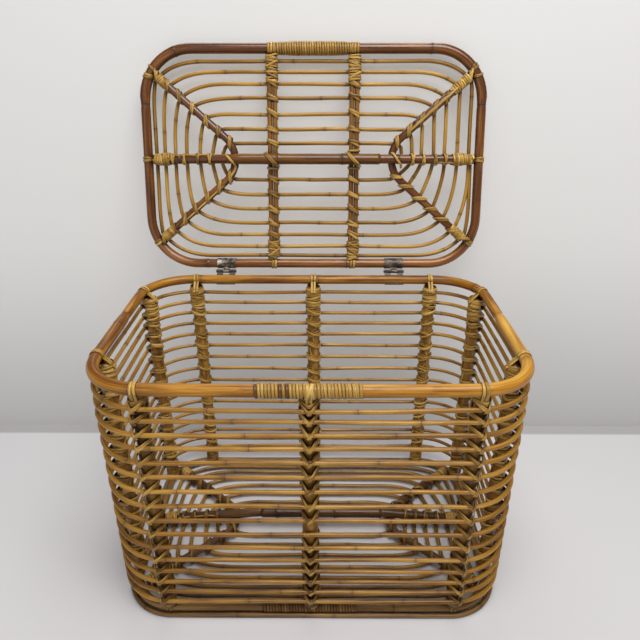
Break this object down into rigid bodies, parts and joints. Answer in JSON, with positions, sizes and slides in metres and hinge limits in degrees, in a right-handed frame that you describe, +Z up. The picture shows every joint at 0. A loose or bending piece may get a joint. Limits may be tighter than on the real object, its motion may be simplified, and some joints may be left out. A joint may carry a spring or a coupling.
{
  "type": "laundry hamper",
  "caption": "Rattan laundry hamper: a rounded rectangular open-work cane basket with lashed upright ribs and a flat cane lid on two strap hinges.",
  "frame": {"origin": "centre of the basket's footprint, on the floor, between the rim's outside faces", "axes": "+Z up, +Y to the back where the lid is hinged, +X along the long side"},
  "size_m": [0.5834, 0.4881, 0.7704],
  "materials": {
    "golden_cane": "varnished golden cane",
    "rim_cane": "glossy varnished orange cane",
    "brown_cane": "glossy varnished dark cane",
    "split_cane": "varnished split cane strands",
    "hinge_tin": "worn plated sheet metal"
  },
  "bodies": {
    "basket": {"top_rim_front": "rim_cane", "top_rim_back": "rim_cane", "base_ring": "brown_cane", "foot_ring": "golden_cane", "wall_rod_01": "golden_cane", "wall_rod_02": "golden_cane", "wall_rod_03": "golden_cane", "wall_rod_04": "golden_cane", "wall_rod_05": "golden_cane", "wall_rod_06": "golden_cane", "wall_rod_07": "golden_cane", "wall_rod_08": "golden_cane", "wall_rod_09": "golden_cane", "wall_rod_10": "golden_cane", "wall_rod_11": "golden_cane", "wall_rod_12": "golden_cane", "wall_rod_13": "golden_cane", "wall_rod_14": "golden_cane", "wall_rod_15": "golden_cane", "wall_rod_16": "golden_cane", "rib_front_left": "brown_cane", "rib_front_middle": "brown_cane", "rib_front_right": "brown_cane", "rib_back_left": "brown_cane", "rib_back_middle": "brown_cane", "rib_back_right": "brown_cane", "rib_left_front": "brown_cane", "rib_left_back": "brown_cane", "rib_right_front": "brown_cane", "rib_right_back": "brown_cane", "lashings_front": "split_cane", "lashings_back": "split_cane", "lashings_left": "split_cane", "lashings_right": "split_cane", "rim_grip_wrap": "split_cane", "base_ring_wrap": "split_cane", "base_loops": "golden_cane", "base_v_bar_left": "brown_cane", "base_v_bar_right": "brown_cane", "base_cross_rib": "brown_cane", "base_middle_bar": "brown_cane", "base_end_bars": "brown_cane", "base_lashings": "split_cane", "hinge_strap_rim_left": "hinge_tin", "hinge_strap_rim_right": "hinge_tin", "hinge_pin_left": "hinge_tin", "hinge_pin_right": "hinge_tin"},
    "lid": {"lid_frame_front": "brown_cane", "lid_frame_back": "brown_cane", "lid_loops": "golden_cane", "lid_v_bar_left": "brown_cane", "lid_v_bar_right": "brown_cane", "lid_cross_rib_left": "brown_cane", "lid_cross_rib_right": "brown_cane", "lid_middle_bar": "brown_cane", "lid_end_bars": "brown_cane", "lid_lashings": "split_cane", "lid_grip_wrap": "split_cane", "hinge_strap_lid_left": "hinge_tin", "hinge_strap_lid_right": "hinge_tin"}
  },
  "joints": [
    {"name": "lid hinge", "type": "hinge", "parent": "basket", "child": "lid", "pos_m": [0, 0.1892, 0.4068], "axis": [1, 0, 0], "range_deg": [0, 104]}
  ]
}
